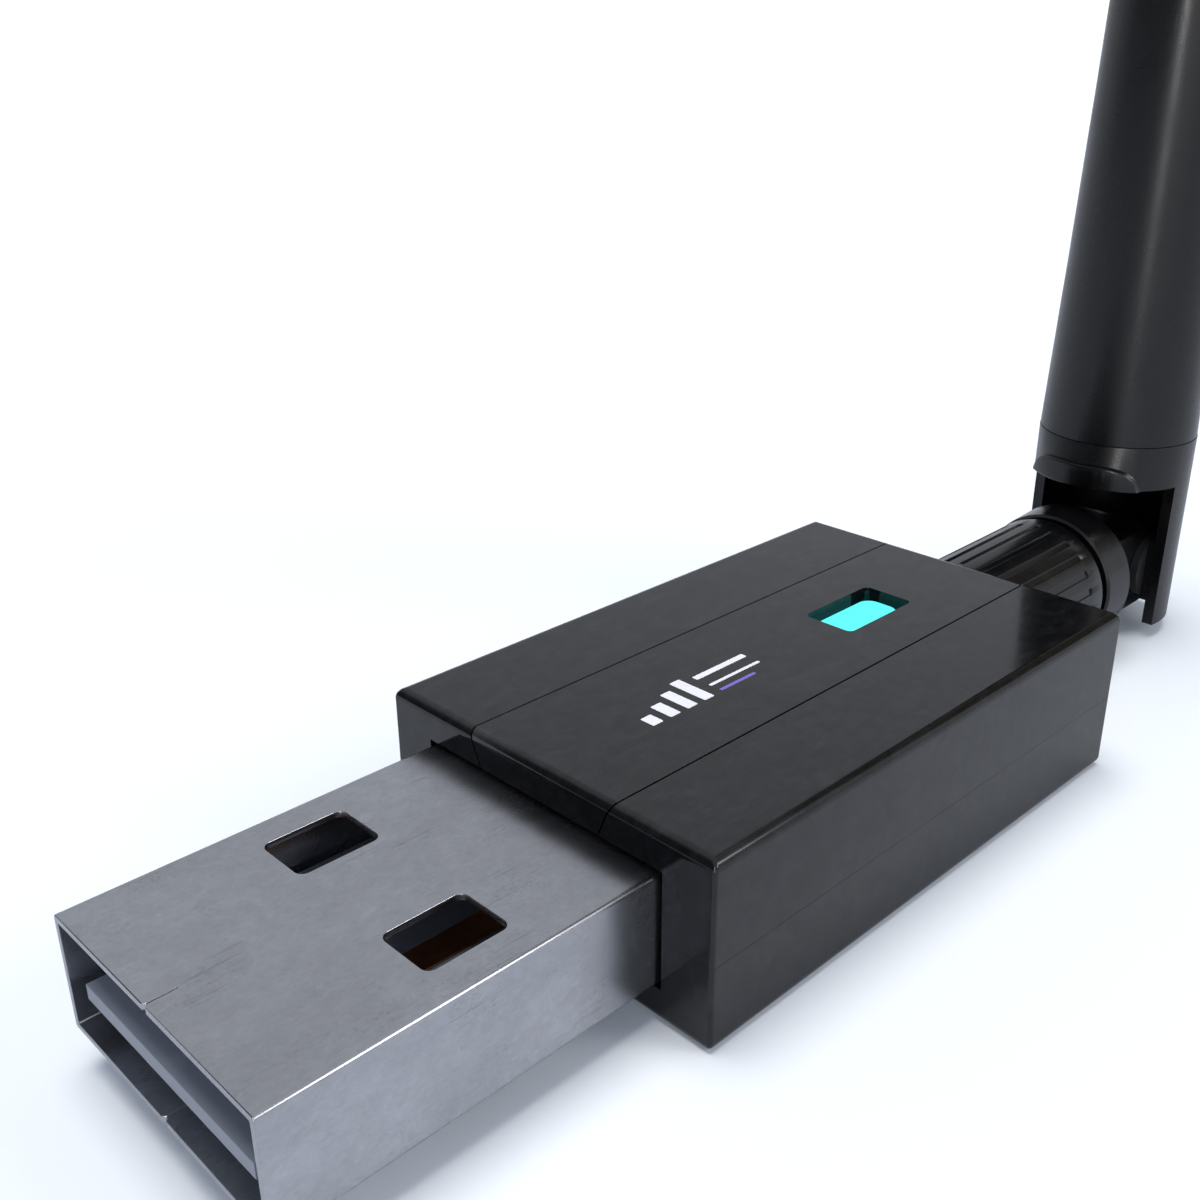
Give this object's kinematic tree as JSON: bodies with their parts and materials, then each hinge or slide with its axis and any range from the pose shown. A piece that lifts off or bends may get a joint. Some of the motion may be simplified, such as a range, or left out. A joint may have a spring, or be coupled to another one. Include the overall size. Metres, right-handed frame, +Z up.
{
  "type": "usb wifi adapter",
  "caption": "Slim USB-A wireless adapter: steel plug, gloss black case with a recessed lit button, and a screw-on antenna that swivels and folds.",
  "frame": {"origin": "on the USB plug's centre line at the case's front face, where the socket's mouth meets the case", "axes": "+X from the plug towards the antenna, +Z up towards the button side, +Y across; the antenna stands along +Z at rest"},
  "size_m": [0.0611, 0.0168, 0.0818],
  "materials": {
    "case_black": "high gloss black moulding",
    "plug_steel": "brushed stainless sheet with light wear",
    "insulator_grey": "blue grey moulded insulator",
    "contact_copper": "copper alloy contact strip",
    "board_green": "solder mask over glass fibre",
    "chip_black": "moulded epoxy package",
    "can_metal": "drawn nickel can",
    "ceramic_tan": "fired ceramic chip",
    "led_white": "clear resin over a white body",
    "dome_steel": "spring steel",
    "light_cyan": "translucent cyan, lit from behind",
    "plunger_black": "moulded nylon",
    "gold_brass": "gold plated brass",
    "ptfe_white": "turned PTFE",
    "nut_black": "satin black over brass",
    "ring_steel": "spring steel",
    "antenna_black": "satin black moulding",
    "washer_nylon": "black nylon",
    "coax_black": "dark cable jacket",
    "raw_brass": "drawn brass"
  },
  "bodies": {
    "adapter": {"upper_shell": "case_black", "lower_shell": "case_black", "centre_strip": "case_black", "usb_shell": "plug_steel", "usb_insulator": "insulator_grey", "usb_contacts": "contact_copper", "circuit_board": "board_green", "wifi_chip": "chip_black", "crystal": "can_metal", "power_inductor": "chip_black", "chip_capacitors": "ceramic_tan", "status_led": "led_white", "switch_body": "can_metal", "switch_dome": "dome_steel", "jack_body": "gold_brass", "jack_dielectric": "ptfe_white", "jack_pin": "gold_brass"},
    "button": {"light_button": "light_cyan"},
    "plunger": {"switch_plunger": "plunger_black"},
    "connector": {"plug_body": "gold_brass", "plug_dielectric": "ptfe_white", "plug_socket": "gold_brass"},
    "nut": {"coupling_nut": "nut_black"},
    "swivel": {"swivel_barrel": "antenna_black", "barrel_coax": "coax_black", "retaining_ring": "ring_steel"},
    "antenna": {"antenna_fork": "antenna_black", "radome": "antenna_black", "hinge_pin": "ring_steel", "friction_washers": "washer_nylon", "antenna_coax": "coax_black", "dipole_sleeve": "raw_brass", "dipole_radiator": "raw_brass"}
  },
  "joints": [
    {"name": "button_press", "type": "slide", "parent": "adapter", "child": "button", "axis": [0, 0, -1], "range_m": [0, 0.00025], "stiffness_N_per_m": 5},
    {"name": "plunger_press", "type": "slide", "parent": "adapter", "child": "plunger", "axis": [0, 0, -1], "range_m": [0, 0.00025]},
    {"name": "connector_release", "type": "slide", "parent": "adapter", "child": "connector", "axis": [1, 0, 0], "range_m": [0, 0.0074]},
    {"name": "nut_turn", "type": "hinge", "parent": "connector", "child": "nut", "pos_m": [0.03, 0, 0], "axis": [1, 0, 0], "range_deg": [0, 3780]},
    {"name": "antenna_swivel", "type": "hinge", "parent": "connector", "child": "swivel", "pos_m": [0.0361, 0, 0], "axis": [1, 0, 0], "range_deg": [-180, 180]},
    {"name": "antenna_fold", "type": "hinge", "parent": "swivel", "child": "antenna", "pos_m": [0.0421, 0, 0], "axis": [0, 1, 0], "range_deg": [0, 90]}
  ],
  "couplings": [
    {"joint": "plunger_press", "follows": "button_press", "ratio": 1},
    {"joint": "nut_turn", "follows": "connector_release", "rad_per_m": 8905.3}
  ]
}
